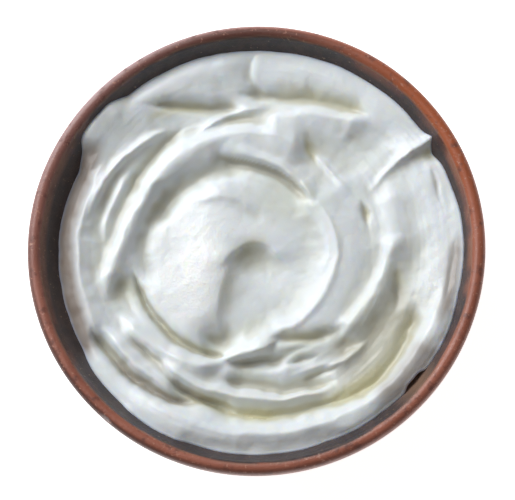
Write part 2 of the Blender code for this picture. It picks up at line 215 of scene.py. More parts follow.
# Where clear whey has gathered, and where olive painted shade darkens grooves and shaded slopes, by
# place and strength
WHEY_AND_SHADE_STROKES = {
    "south_whey": Stroke(240, 304, 52.6, 56.0, 0.0, 0.55, 4.0, 2.0),
    "east_whey": Stroke(288, 342, 55.0, 54.0, 3.2, 0.6, 4.6, 2.2),
    "lobe_whey": Stroke(104, 134, 50.8, 58.0, 1.0, 0.6, 2.0, 2.2),
    "north_east_whey": Stroke(48, 86, 60.4, 56.4, -1.6, 0.5, 3.0, 3.0),
    "lip_whey": Stroke(280, 318, 29.0, 37.0, 0.0, 0.7, 1.6, 2.2),
    "v_whey": Stroke(184, 206, 40, 40, 0.0, 0.8, 1.8, 1.4, (56.7, 44.1)),
    "streak_whey": Stroke(12, 24, 38.6, 39.0, 0.0, 0.6, 1.2, 1.2),
    "mound_foot_shade": Stroke(210, 256, 40.2, 37.0, 0.2, 0.32, 1.2, 1.4),
    "right_whey": Stroke(-18, -4, 49.0, 46.6, 0.0, 0.5, 1.5, 1.5),
}

WHEY_AND_SHADE_SWELLS = {
    "scoop_whey": Swell(-2.5, 2.0, 4.2, 2.6, 15, 0.6),
    "tip_whey": Swell(57.5, 31.5, 3.6, 2.2, 0, 0.5),
    "scoop_side_shade": Swell(-9.5, -11, 9.0, 2.0, 80, 0.35),
    "pit_whey": Swell(-42.5, -12, 6.0, 3.5, -60, 0.3),
    "whey_pool": Swell(33.0, -45.6, 8.5, 2.8, 36, 0.6),
    "whey_pool_2": Swell(1, -54.5, 6.0, 2.6, 2, 0.6),
    "south_east_olive_shade": Swell(39, -29, 19, 9, 55, 0.26),
}

# Where painted shade darkens the cream, besides its hollows
PAINTED_SHADE_SWELLS = {
    "north_hollow": Swell(11, 17, 13.0, 7.0, 0, 1.0),
    "below_mound": Swell(-2, -26, 6.0, 4.0, 0, 0.9),
    "below_fold": Swell(13, -34, 9.0, 4.0, 0, 1.0),
    "south_east": Swell(40, -27, 20.0, 9.0, 60, 1.0),
}

# Where the cream is grainy and glossier, and where a highlight is painted into its colour
SHEEN_SWELLS = {
    "mound_sheen": Swell(-20, -5, 20, 15, 75, 1.0),
    "west_sheen": Swell(-50, 22, 9, 4, 115, 0.8),
    "east_sheen": Swell(58, -14, 10, 4, 75, 0.6),
}

# Where the labneh is smeared thin and the dark clay shows through it, and where painted shade with a
# painted brown reflection of the clay darkens shaded slopes
THIN_AND_SHADE_STROKES = {
    "west_smear": Stroke(142, 218, 63.4, 63.8, 0.0, 1.3, 3.4, 5.0),
    "east_smear": Stroke(-26, 6, 65.2, 66.4, -0.4, 0.85, 2.4, 1.8),
    "small_smear": Stroke(13, 24, 62.8, 64.0, 0.0, 0.35, 1.2, 1.2),
    "south_west_smear": Stroke(214, 252, 59.0, 54.2, 1.6, 0.55, 1.9, 1.2),
    "under_crest_smear": Stroke(236, 258, 51.2, 52.2, 0.0, 0.45, 1.4, 1.2),
    "south_bank_smear": Stroke(247, 300, 65.0, 66.0, 0.0, 0.3, 3.5, 2.2),
    "south_east_brown_shade": Stroke(296, 350, 48.0, 52.0, 0.0, 0.3, 7.0, 7.0),
    "pocket_smear": Stroke(304, 334, 64.6, 65.0, 0.0, 0.75, 4.0, 4.0),
}

ALL_STROKES = [
    stroke
    for group in (
        MIDDLE_STROKES,
        NORTH_STROKES,
        WEST_STROKES,
        SOUTH_STROKES,
        EAST_STROKES,
        NORTH_EAST_STROKES,
        FINE_STROKES,
    )
    for stroke in group.values()
]

# How sharp a crest is, by its narrower flank, and how a stroke fades out at its ends
SOFTEST_CREST = 2.0
SHARPEST_CREST = 1.4
CREST_SOFTENING = 0.15
END_LENGTH = 9.0
END_WIDTH = 0.55
SHORTEST_FADE = 0.15
FINEST_FLANK = 1.15

# Unevenness of the strokes, then drag lines, grain and lumps, in millimetres and counts a turn
WANDER = 0.7
WANDER_CELL = 9.0
RAGGED = 0.32
RAGGED_CELL = 3.1
DRAG_HEIGHT = 0.12
DRAG_WIDTH = 2.2
DRAG_COUNT = 14
HAIR_HEIGHT = 0.055
HAIR_WIDTH = 0.9
HAIR_COUNT = 30
DRAG_START = 22.0
GRAIN_HEIGHT = 0.05
GRAIN_CELL = 1.6
LUMP_HEIGHT = 0.22
LUMP_CELL = 7.0
NOISE_SIDE = 256

# Each random pattern's own seed. The first two take the next number too.
WANDER_SEED = 11
RAGGED_SEED = 13
DRAG_SEED = 21
LUMP_SEED = 22
GRAIN_SEED = 23
HAIR_SEED = 24
LIP_SEED = 31
GLAZE_SEED = 32

# How wide and how deep a full crease and a full hollow are, in millimetres, for the painted shade in
# them
CREASE_REACH = 3.2
CREASE_DEPTH = 1.1
HOLLOW_REACH = 7.0
HOLLOW_DEPTH = 2.2
HOLLOW_SIDES = 8


def smooth_step(value):
    """Rise gently from 0 at 0 to 1 at 1."""
    value = np.clip(value, 0.0, 1.0)
    return value * value * (3.0 - 2.0 * value)


def random_field(across, up, seed, rows=NOISE_SIDE):
    """Smooth random numbers from -1 to 1 over a plane whose bumps are one unit wide.

    The numbers start again after so many rows.
    """
    table = np.random.default_rng(seed).uniform(-1.0, 1.0, (rows, NOISE_SIDE))
    column = np.floor(across).astype(int)
    row = np.floor(up).astype(int)
    right = smooth_step(across - column)
    above = smooth_step(up - row)
    corners = [
        table[(row + down) % rows, (column + side) % NOISE_SIDE]
        for down in (0, 1)
        for side in (0, 1)
    ]
    low = corners[0] + (corners[1] - corners[0]) * right
    high = corners[2] + (corners[3] - corners[2]) * right
    return low + (high - low) * above


def stroke_height(stroke, x, y):
    """Height that one spoon stroke adds at x and y, in millimetres."""
    across = x - stroke.centre[0]
    up = y - stroke.centre[1]
    radius = np.hypot(across, up)
    span = math.radians(stroke.end - stroke.start)
    middle = math.radians(0.5 * (stroke.start + stroke.end))
    turn = np.arctan2(
        up * math.cos(middle) - across * math.sin(middle),
        across * math.cos(middle) + up * math.sin(middle),
    )
    reach = 0.5 + turn / span
    along = np.clip(reach, 0.0, 1.0)
    growth = stroke.end_radius - stroke.start_radius
    crest = stroke.start_radius + growth * along + 4.0 * stroke.bow * along * (1.0 - along)
    slope = (growth + 4.0 * stroke.bow * (1.0 - 2.0 * along)) / (span * crest)
    offset = (radius - crest) / np.sqrt(1.0 + slope * slope)
    length = span * 0.5 * (stroke.start_radius + stroke.end_radius)
    fade_share = min(0.5, max(SHORTEST_FADE, END_LENGTH / length))
    fade = smooth_step(np.minimum(reach, 1.0 - reach) / fade_share)
    inner = max(stroke.inner, FINEST_FLANK)
    outer = max(stroke.outer, FINEST_FLANK)
    width = np.where(offset < 0.0, inner, outer)
    width = width * (END_WIDTH + (1.0 - END_WIDTH) * fade)
    power = min(SHARPEST_CREST + CREST_SOFTENING * min(inner, outer), SOFTEST_CREST)
    return stroke.height * fade * np.exp(-((np.abs(offset) / width) ** power))


def swell_height(swell, x, y):
    """Height that one soft swell adds at x and y, in millimetres."""
    turn = math.radians(swell.turn)
    across = (x - swell.x) * math.cos(turn) + (y - swell.y) * math.sin(turn)
    up = (y - swell.y) * math.cos(turn) - (x - swell.x) * math.sin(turn)
    return swell.height * np.exp(-((across / swell.long) ** 2) - (up / swell.short) ** 2)


def wandered(x, y):
    """Shift points a little, so that no stroke is a clean arc. In millimetres."""
    shifts = ((WANDER, WANDER_CELL, WANDER_SEED), (RAGGED, RAGGED_CELL, RAGGED_SEED))
    for shift, cell, seed in shifts:
        shift_x = shift * random_field(x / cell, y / cell, seed)
        shift_y = shift * random_field(x / cell, y / cell, seed + 1)
        x, y = x + shift_x, y + shift_y
    return x, y


def fine_relief(x, y):
    """Drag lines, lumps and grain of the cream, in millimetres."""
    radius = np.hypot(x, y)
    turns = np.arctan2(y, x) / math.tau
    drag = random_field(radius / DRAG_WIDTH, turns * DRAG_COUNT, DRAG_SEED, DRAG_COUNT)
    hair = random_field(radius / HAIR_WIDTH, turns * HAIR_COUNT, HAIR_SEED, HAIR_COUNT)
    drag = DRAG_HEIGHT * drag + HAIR_HEIGHT * hair
    drag = drag * smooth_step((radius - DRAG_START) / DRAG_START)
    lump = random_field(x / LUMP_CELL, y / LUMP_CELL, LUMP_SEED)
    grain = random_field(x / GRAIN_CELL, y / GRAIN_CELL, GRAIN_SEED)
    return drag + LUMP_HEIGHT * lump + GRAIN_HEIGHT * grain


def labneh_top(x, y):
    """Height of the labneh's surface above the table at x and y, all in metres."""
    x = np.asarray(x, dtype=float) / MM
    y = np.asarray(y, dtype=float) / MM
    fine = fine_relief(x, y)
    x, y = wandered(x, y)
    bank = smooth_step((np.hypot(x, y) - BANK_START) / BANK_WIDTH)
    relief = np.zeros(np.shape(x))
    for stroke in ALL_STROKES:
        relief = relief + stroke_height(stroke, x, y)
    for swell in (*SWELLS.values(), *FINE_SWELLS.values()):
        relief = relief + swell_height(swell, x, y)
    depth = MIDDLE_DEPTH - BANK_RISE * bank - RELIEF * relief - fine
    return BOWL_HEIGHT - depth * MM


def sunk_at(x, y, reach, depth):
    """Share from 0 to 1 of a hollow at x and y, in metres, from how far it lies below all around.

    reach and depth, in millimetres, say how wide and how deep a full hollow is.
    """
    around = np.zeros(np.shape(x))
    for side in range(HOLLOW_SIDES):
        turn = math.tau * side / HOLLOW_SIDES
        beside = labneh_top(x + reach * MM * math.cos(turn), y + reach * MM * math.sin(turn))
        around = around + beside
    sunk = (around / HOLLOW_SIDES - labneh_top(x, y)) / MM
    return np.clip(sunk / depth, 0.0, 1.0)


def mask_at(strokes, swells, x, y):
    """Share from 0 to 1 of a place marked by strokes and swells at x and y, in metres."""
    x, y = wandered(x / MM, y / MM)
    total = np.zeros(np.shape(x))
    for stroke in strokes.values():
        total = np.maximum(total, stroke_height(stroke, x, y))
    for swell in swells.values():
        total = total + swell_height(swell, x, y)
    return np.clip(total, 0.0, 1.0)


# The bowl


def wall_points():
    """Profile of the bowl's inside, from the middle of its floor up to the lip."""
    lip_radius = RIM_RADIUS - LIP_WIDTH
    lip_height = BOWL_HEIGHT - 0.5 * LIP_WIDTH
    points = [(0.0, FLOOR_HEIGHT)]
    for step in range(INNER_WALL_STEPS + 1):
        share = step / INNER_WALL_STEPS
        radius = FLOOR_RADIUS + (lip_radius - FLOOR_RADIUS) * share
        height = FLOOR_HEIGHT + (lip_height - FLOOR_HEIGHT) * share**INNER_WALL_POWER
        points.append((radius, height))
    return points


def lip_points():
    """Profile of the rounded lip, without its first point, which ends the inner wall."""
    half = 0.5 * LIP_WIDTH
    points = []
    for step in range(1, LIP_STEPS + 1):
        angle = math.pi * (1.0 - step / LIP_STEPS)
        radius = RIM_RADIUS - half + half * math.cos(angle)
        points.append((radius, BOWL_HEIGHT - half + half * math.sin(angle)))
    return points


def outside_points():
    """Profile of the outside, from the lip's band down to the foot and in to the axis."""
    top = BOWL_HEIGHT - 0.5 * LIP_WIDTH - LIP_BAND
    points = [(RIM_RADIUS, top + 0.5 * LIP_BAND)]
    for step in range(OUTER_WALL_STEPS, -1, -1):
        share = step / OUTER_WALL_STEPS
        radius = FOOT_RADIUS + (RIM_RADIUS - FOOT_RADIUS) * share
        points.append((radius, FOOT_HEIGHT + (top - FOOT_HEIGHT) * share**OUTER_WALL_POWER))
    outside = FOOT_RADIUS - FOOT_TAPER
    inside = outside - FOOT_BEVEL - FOOT_WIDTH
    points += [
        (outside, FOOT_BEVEL),
        (outside - 0.5 * FOOT_BEVEL, 0.2 * FOOT_BEVEL),
        (outside - FOOT_BEVEL, 0.0),
        (inside, 0.0),
        (inside - FOOT_BEVEL, FOOT_BEVEL),
        (inside - 2.0 * FOOT_BEVEL, RECESS_HEIGHT),
        (0.0, RECESS_HEIGHT),
    ]
    return points


def inner_radius(height):
    """Radius of the bowl's inside at a height, in metres."""
    lip_height = BOWL_HEIGHT - 0.5 * LIP_WIDTH
    share = np.clip((height - FLOOR_HEIGHT) / (lip_height - FLOOR_HEIGHT), 0.0, 1.0)
    return FLOOR_RADIUS + (RIM_RADIUS - LIP_WIDTH - FLOOR_RADIUS) * share ** (1.0 / INNER_WALL_POWER)


def pocket_inset(angle):
    """How far the labneh's edge stands off the wall at an angle in radians, in metres."""
    turn = np.degrees(np.angle(np.exp(1j * (angle - math.radians(POCKET_ANGLE)))))
    return POCKET_WIDTH * np.exp(-((turn / POCKET_HALF_ANGLE) ** 4))


def meeting_line():
    """Angles, radii and heights of the line where the labneh meets the wall."""
    angle = np.linspace(-math.pi, math.pi, EDGE_STEPS + 1)
    radius = np.full(np.shape(angle), RIM_RADIUS - 2.0 * LIP_WIDTH)
    for _ in range(EDGE_PASSES):
        height = labneh_top(radius * np.cos(angle), radius * np.sin(angle))
        target = inner_radius(height) - pocket_inset(angle)
        radius = 0.5 * (radius + target)
    return angle, radius, labneh_top(radius * np.cos(angle), radius * np.sin(angle))


def line_at(line, angle):
    """Radius and height of the meeting line at angles in radians."""
    angle = np.arctan2(np.sin(angle), np.cos(angle))
    return np.interp(angle, line[0], line[1]), np.interp(angle, line[0], line[2])


# Finishes


class Value:
    """One number of a finish, which Python sums join with Math nodes."""

    def __init__(self, finish, socket):
        self.finish = finish
        self.socket = socket

    def join(self, operation, first, second):
        """Math node of two numbers."""
        return self.finish.node("ShaderNodeMath", {"operation": operation}, {0: first, 1: second})

    def __add__(self, other):
        return self.join("ADD", self, other)

    def __radd__(self, other):
        return self.join("ADD", other, self)

    def __sub__(self, other):
        return self.join("SUBTRACT", self, other)

    def __rsub__(self, other):
        return self.join("SUBTRACT", other, self)

    def __mul__(self, other):
        return self.join("MULTIPLY", self, other)

    def __rmul__(self, other):
        return self.join("MULTIPLY", other, self)


class Finish:
    """A material in the making."""

    def __init__(self, name, roughness):
        self.material = bpy.data.materials.new(name)
        self.material.use_nodes = True
        self.tree = self.material.node_tree
        self.shader = self.tree.nodes["Principled BSDF"]
        self.shader.inputs["Roughness"].default_value = roughness

    def node(self, kind, settings=None, inputs=None, output=0):
        """Node of a kind with its settings and with values or links in its sockets."""
        made = self.tree.nodes.new(kind)
        for key, value in (settings or {}).items():
            setattr(made, key, value)
        for key, value in (inputs or {}).items():
            if isinstance(value, Value):
                self.tree.links.new(value.socket, made.inputs[key])
            else:
                made.inputs[key].default_value = value
        return Value(self, made.outputs[output])

    def place(self):
        """Object coordinates."""
        return self.node("ShaderNodeTexCoord", output=3)

    def noise(self, size, detail=3.0, roughness=0.55):
        """Random pattern whose spots are about one size across, in metres."""
        return self.node(
            "ShaderNodeTexNoise",
            {"noise_dimensions": "3D"},
            {"Vector": self.place(), "Scale": 1.0 / size, "Detail": detail, "Roughness": roughness},
        )

    def band(self, value, low, high):
        """Soft step from 0 at low to 1 at high."""
        return self.node(
            "ShaderNodeMapRange",
            {"interpolation_type": "SMOOTHSTEP"},
            {0: value, 1: low, 2: high, 3: 0.0, 4: 1.0},
        )

    def mix(self, share, first, second):
        """Mix of two colours."""
        first = first if isinstance(first, Value) else (*first, 1.0)
        second = second if isinstance(second, Value) else (*second, 1.0)
        return self.node(
            "ShaderNodeMix", {"data_type": "RGBA"}, {0: share, 6: first, 7: second}, 2
        )

    def attribute(self, name):
        """Number stored on the piece's points."""
        return self.node("ShaderNodeAttribute", {"attribute_name": name}, output=2)

    def feed(self, name, value):
        """Link a value to one of the shader's own sockets."""
        self.tree.links.new(value.socket, self.shader.inputs[name])

    def bump(self, height, depth):
        """Raise the surface by a height from 0 to 1 over a depth in metres."""
        sockets = {"Strength": 1.0, "Distance": depth, "Height": height}
        self.feed("Normal", self.node("ShaderNodeBump", None, sockets))


# Colours of the cream, as linear red, green and blue
CREAM_COLOURS = ((0.836, 0.880, 0.915), (0.860, 0.893, 0.915))
PAINTED_SHEEN_COLOUR = (0.93, 0.945, 0.955)
HOLLOW_SHADE_COLOUR = (0.64, 0.66, 0.56)
CREASE_SHADE_COLOUR = (0.54, 0.515, 0.43)
WHEY_AND_SHADE_COLOUR = (0.62, 0.565, 0.29)
THIN_AND_SHADE_COLOUR = (0.33, 0.27, 0.23)
FILM_AND_REFLECTION_COLOUR = (0.52, 0.56, 0.69)
CURD_DEPTH = 0.00016


def labneh_finish():
    """Moist white cream, with clear whey in its hollows, painted shade in its creases and hollows, a
    painted highlight where it is grainy and a painted bluish reflection at its edge.
    """
    finish = Finish("moist_cream", 0.38)
    shader = finish.shader.inputs
    shader["Subsurface Weight"].default_value = 1.0
    shader["Subsurface Radius"].default_value = (1.0, 0.85, 0.65)
    shader["Subsurface Scale"].default_value = 0.0007
    shader["IOR"].default_value = 1.46
    whey = finish.attribute("whey")
    sheen = finish.attribute("sheen")
    patch = finish.noise(0.011)
    cream = finish.mix(finish.band(patch, 0.3, 0.7), *CREAM_COLOURS)
    # Painted highlight: the cream is whitened where it is grainy
    highlighted = finish.mix(0.7 * sheen, cream, PAINTED_SHEEN_COLOUR)
    # Painted shade in the cream's hollows and in further shaded places
    hollow_shaded = finish.mix(0.6 * finish.attribute("hollow"), highlighted, HOLLOW_SHADE_COLOUR)
    # Painted shade in the creases, weaker where whey lies
    crease = finish.attribute("crease") * (1.0 - 0.5 * whey)
    crease_shaded = finish.mix(0.68 * crease, hollow_shaded, CREASE_SHADE_COLOUR)
    # Whey tint, partly olive painted shade
    wet_and_shaded = finish.mix(0.66 * whey, crease_shaded, WHEY_AND_SHADE_COLOUR)
    blotch = finish.band(finish.noise(0.009, 2.0), 0.3, 0.7)
    # Thin cream over the clay, partly painted shade and a painted reflection of the clay
    thin_and_shade = finish.attribute("thin") * (0.85 + 0.15 * blotch)
    thin_and_shaded = finish.mix(thin_and_shade, wet_and_shaded, THIN_AND_SHADE_COLOUR)
    # The thin film at the edge, tinted with a painted bluish sky reflection
    finish.feed("Base Color", finish.mix(finish.attribute("film"), thin_and_shaded, FILM_AND_REFLECTION_COLOUR))
    gloss = 0.37 - 0.12 * whey - 0.09 * sheen
    finish.feed("Roughness", gloss + 0.10 * (finish.noise(0.0016, 2.0) - 0.5))
    curd = finish.noise(0.00085, 3.0, 0.6)
    pores = finish.noise(0.0022, 2.0, 0.5)
    finish.bump((0.6 * curd + 0.4 * pores) * (0.6 + 1.2 * sheen), CURD_DEPTH)
    return finish.material


# Colours of the clay and its glaze
CLAY_COLOURS = ((0.30, 0.100, 0.064), (0.38, 0.135, 0.090))
RED_COLOUR = (0.42, 0.100, 0.031)
DULL_AND_REFLECTION_COLOUR = (0.235, 0.120, 0.112)
LIP_HIGHLIGHT_COLOUR = (0.40, 0.27, 0.275)
LIP_SHADE_COLOUR = (0.075, 0.028, 0.022)
MOTTLE_COLOUR = (0.14, 0.050, 0.038)
FLECK_COLOUR = (0.50, 0.25, 0.18)
GLAZE_COLOURS = ((0.050, 0.038, 0.039), (0.080, 0.055, 0.051))
GLAZE_FLECK_COLOUR = (0.30, 0.20, 0.14)
POCKET_LIGHT_COLOUR = (0.22, 0.135, 0.095)
EDGE_HIGHLIGHT_COLOUR = (0.24, 0.16, 0.11)
PIT_DEPTH = 0.00022


def clay_finish():
    """Red clay with a dark glaze over the bowl's inside, with painted shade, highlights and a sky
    reflection on the lip, and painted light beside the pocket.
    """
    finish = Finish("red_clay_and_dark_glaze", 0.45)
    finish.shader.inputs["IOR"].default_value = 1.5
    glaze = finish.attribute("glaze")
    cloud = finish.noise(0.016, 4.0, 0.6)
    mottle = finish.noise(0.0038, 4.0, 0.62)
    fleck = finish.noise(0.0011, 2.0, 0.5)
    clay = finish.mix(finish.band(cloud, 0.35, 0.65), *CLAY_COLOURS)
    clay = finish.mix(0.85 * finish.attribute("fired_red"), clay, RED_COLOUR)
    # Duller clay with a painted sky reflection
    clay = finish.mix(0.70 * finish.attribute("dull_and_reflection"), clay, DULL_AND_REFLECTION_COLOUR)
    # Painted highlight on the lip's outer half
    clay = finish.mix(0.85 * finish.attribute("painted_lip_highlight"), clay, LIP_HIGHLIGHT_COLOUR)
    # Painted shade on the lip
    clay = finish.mix(0.95 * finish.attribute("painted_lip_shade"), clay, LIP_SHADE_COLOUR)
    clay = finish.mix(0.75 * finish.band(mottle, 0.52, 0.68), clay, MOTTLE_COLOUR)
    clay = finish.mix(0.6 * finish.band(fleck, 0.62, 0.72), clay, FLECK_COLOUR)
    dark = finish.mix(finish.band(mottle, 0.4, 0.66), *GLAZE_COLOURS)
    dark = finish.mix(0.7 * finish.band(fleck, 0.66, 0.74), dark, GLAZE_FLECK_COLOUR)
    # Painted light in the pocket's shade
    dark = finish.mix(finish.attribute("pocket_light"), dark, POCKET_LIGHT_COLOUR)
    glazed = finish.mix(glaze, clay, dark)
    # Painted highlight along the glaze's upper edge
    finish.feed("Base Color", finish.mix(finish.attribute("edge_highlight"), glazed, EDGE_HIGHLIGHT_COLOUR))
    finish.feed("Roughness", 0.40 - 0.06 * glaze + 0.25 * (mottle - 0.5))
    pits = finish.noise(0.0007, 3.0, 0.6)
    finish.bump(0.6 * pits + 0.4 * mottle, PIT_DEPTH)
    return finish.material


def floor_finish():
    """Plain white table."""
    finish = Finish("white_table", 0.9)
    shader = finish.shader.inputs
    shader["Base Color"].default_value = (0.95, 0.95, 0.95, 1.0)
    shader["Specular IOR Level"].default_value = 0.0
    shader["Emission Color"].default_value = (1.0, 1.0, 1.0, 1.0)
    shader["Emission Strength"].default_value = 0.85
    return finish.material


# Pieces


def add_piece(name, shape, finish):
    """Make an object of a bmesh, smooth shaded, with its finish."""
    mesh = bpy.data.meshes.new(name)
    shape.to_mesh(mesh)
    shape.free()
    mesh.shade_smooth()
    mesh.materials.append(finish)
    piece = bpy.data.objects.new(name, mesh)
    bpy.context.scene.collection.objects.link(piece)
    return piece


def store(piece, name, values):
    """Keep one number for each point of a piece."""
    data = piece.data.attributes.new(name, "FLOAT", "POINT")
    data.data.foreach_set("value", np.asarray(values, dtype=np.float32))


def points_of(piece):
    """Places of a piece's points as columns x, y and z."""
    flat = np.empty(len(piece.data.vertices) * 3)
    piece.data.vertices.foreach_get("co", flat)
    return flat.reshape(-1, 3).T


def disc_polar(u, v):
    """Turn a point of a square from -1 to 1 into a share of the radius and an angle."""
    share = np.maximum(np.abs(u), np.abs(v))
    wide = np.abs(u) >= np.abs(v)
    base = np.where(wide, u, v)
    ratio = np.where(wide, v, u) / np.where(base == 0.0, 1.0, base)
    quarter = math.pi / 4.0
    angle = np.where(wide, quarter * ratio, 2.0 * quarter - quarter * ratio)
    angle = angle + np.where(base < 0.0, math.pi, 0.0)
    return share, angle


def place_top(shape, line):
    """Spread the square grid over the bowl's opening and lift it to the spooned surface.

    The outermost ring is a thin film that runs a little way up the wall.
    """
    verts = list(shape.verts)
    u = np.array([vert.co.x for vert in verts])
    v = np.array([vert.co.y for vert in verts])
    share, angle = disc_polar(u, v)
    radius, edge_height = line_at(line, angle)
    at_edge = share > EDGE_SHARE
    film_radius = inner_radius(edge_height + FILM_HEIGHT) - pocket_inset(angle) + FILM_BITE
    reach = np.where(at_edge, film_radius, share * radius)
    x = reach * np.cos(angle)
    y = reach * np.sin(angle)
    height = np.where(at_edge, edge_height + FILM_HEIGHT, labneh_top(x, y))
    for vert, place in zip(verts, zip(x, y, height)):
        vert.co = place


def add_skirt(shape, line):
    """Draw the labneh's edge down along the bowl's inside and close it over the floor."""
    edges = [edge for edge in shape.edges if edge.is_boundary]
    for ring in range(1, SKIRT_RINGS + 1):
        sunk = ring / SKIRT_RINGS
        grown = bmesh.ops.extrude_edge_only(shape, edges=edges)["geom"]
        edges = [item for item in grown if isinstance(item, bmesh.types.BMEdge)]
        verts = [item for item in grown if isinstance(item, bmesh.types.BMVert)]
        angle = np.array([math.atan2(vert.co.y, vert.co.x) for vert in verts])
        _, edge_height = line_at(line, angle)
        height = FLOOR_HEIGHT + (edge_height - FLOOR_HEIGHT) * (1.0 - sunk) ** 2
        closing = smooth_step(1.0 - sunk / POCKET_REACH)
        radius = inner_radius(height) - SKIRT_GAP - pocket_inset(angle) * closing
        x = radius * np.cos(angle)
        y = radius * np.sin(angle)
        for vert, place in zip(verts, zip(x, y, height + SKIRT_GAP)):
            vert.co = place
    base = bmesh.ops.holes_fill(shape, edges=edges, sides=0)["faces"]
    bmesh.ops.poke(shape, faces=base)


def build_labneh():
    """Spooned labneh that fills the bowl."""
    shape = bmesh.new()
    bmesh.ops.create_grid(shape, x_segments=LABNEH_CELLS, y_segments=LABNEH_CELLS, size=1.0)
    line = meeting_line()
    place_top(shape, line)
    add_skirt(shape, line)
    bmesh.ops.recalc_face_normals(shape, faces=list(shape.faces))
    piece = add_piece("spooned_labneh", shape, labneh_finish())
    x, y, _ = points_of(piece)
    # Painted shade in creases, from how far each point lies below its surroundings
    store(piece, "crease", sunk_at(x, y, CREASE_REACH, CREASE_DEPTH))
    # Painted shade in hollows, from how far each point lies below its surroundings, plus further
    # shaded places
    painted_shade = mask_at({}, PAINTED_SHADE_SWELLS, x, y)
    hollow = sunk_at(x, y, HOLLOW_REACH, HOLLOW_DEPTH)
    store(piece, "hollow", np.clip(hollow + painted_shade, 0.0, 1.0))
    # Whey, with olive painted shade in grooves and on shaded slopes
    store(piece, "whey", mask_at(WHEY_AND_SHADE_STROKES, WHEY_AND_SHADE_SWELLS, x, y))
    store(piece, "sheen", mask_at({}, SHEEN_SWELLS, x, y))
    # Thin cream, with painted shade and a painted clay reflection on shaded slopes
    store(piece, "thin", mask_at(THIN_AND_SHADE_STROKES, {}, x, y))
    # Band of the edge film, which carries the painted sky reflection
    edge_radius, _ = line_at(line, np.arctan2(y, x))
    past_film = np.hypot(x, y) - edge_radius + FILM_WIDTH
    store(piece, "film", smooth_step(past_film / FILM_WIDTH))
    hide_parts("labneh")
    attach(piece, "root")


# The lip's uneven height, and how far in and down from the rim it fades out
LIP_WOBBLE = 0.00025
LIP_WAVES = 23
WOBBLE_INSET = 0.009
WOBBLE_INSET_FADE = 0.006
WOBBLE_DROP = 0.020
WOBBLE_DROP_FADE = 0.012

# A small nick in the lip's outer edge
NICK_ANGLE = 229.5
NICK_HALF_ANGLE = 0.9
NICK_DEPTH = 0.0008
NICK_INSET = 0.0015
NICK_INSET_FADE = 0.0012
NICK_DROP = 0.0030
NICK_DROP_FADE = 0.0008

# The glaze's upper edge, and a painted highlight as a pale line along it
GLAZE_TOP = 0.00015
GLAZE_SWAY = 0.00025
GLAZE_WAVES = 90
GLAZE_FADE = 0.0005
GLAZE_BELOW_FLOOR = 0.001
GLAZE_BEHIND_WALL = 0.0025
EDGE_HIGHLIGHT_WIDTH = 0.00016
EDGE_HIGHLIGHT_STRENGTH = 0.5

# The lip's outer half, which carries its own painted shade and highlight: its start from the rim, as
# shares of the lip
OUTER_HALF = 0.42
OUTER_HALF_FADE = 0.22

# A soft lobe round the lip: angle and half width in degrees, and strength
Lobe = namedtuple("Lobe", "angle half strength")

# How much further up the lip the glaze creeps, in metres
GLAZE_LOBES = [Lobe(98, 38, 0.0006), Lobe(285, 42, 0.0012)]

# Where the kiln's fire left the clay redder, where the clay is duller with a painted sky reflection,
# and where painted shade lies on the lip's outer and inner halves and a painted highlight on its
# outer half
RED_LOBES = [Lobe(36, 34, 1.0), Lobe(290, 60, 0.15)]
DULL_AND_REFLECTION_LOBES = [Lobe(130, 36, 1.0), Lobe(175, 30, 0.3)]
OUTER_SHADE_LOBES = [Lobe(218, 46, 1.0), Lobe(290, 40, 0.30)]
INNER_SHADE_LOBES = [Lobe(92, 26, 0.85)]
LIP_HIGHLIGHT_LOBES = [Lobe(128, 38, 1.0)]

# Where painted light makes the glaze lighter and browner in the pocket's shade
POCKET_LIGHT_LOBES = [Lobe(POCKET_ANGLE, 6, 1.0)]


def around_lip(lobes, angle):
    """Sum of soft lobes at angles in radians."""
    total = np.zeros(np.shape(angle))
    for lobe in lobes:
        off = np.degrees(np.angle(np.exp(1j * (angle - math.radians(lobe.angle)))))
        total = total + lobe.strength * np.exp(-((off / lobe.half) ** 2))
    return total


def roughen_bowl(shape):
    """Give the turned bowl its uneven lip and the small nick in it."""
    verts = list(shape.verts)
    x, y, z = np.array([vert.co for vert in verts]).T
    radius = np.hypot(x, y)
    angle = np.arctan2(y, x)
    outward = radius - RIM_RADIUS
    upward = z - BOWL_HEIGHT
    turns = (angle + math.pi) / math.tau
    sway = random_field(z * 0.0, turns * LIP_WAVES, LIP_SEED, LIP_WAVES)
    nearness = smooth_step((outward + WOBBLE_INSET) / WOBBLE_INSET_FADE)
    nearness = nearness * smooth_step((upward + WOBBLE_DROP) / WOBBLE_DROP_FADE)
    lift = LIP_WOBBLE * sway * nearness
    off = np.degrees(np.angle(np.exp(1j * (angle - math.radians(NICK_ANGLE)))))
    nick = np.exp(-((off / NICK_HALF_ANGLE) ** 2))
    nick = nick * smooth_step((outward + NICK_INSET) / NICK_INSET_FADE)
    nick = nick * smooth_step((upward + NICK_DROP) / NICK_DROP_FADE)
    scale = 1.0 - NICK_DEPTH * nick / np.maximum(radius, MM)
    for vert, place in zip(verts, zip(x * scale, y * scale, z + lift - 0.5 * NICK_DEPTH * nick)):
        vert.co = place


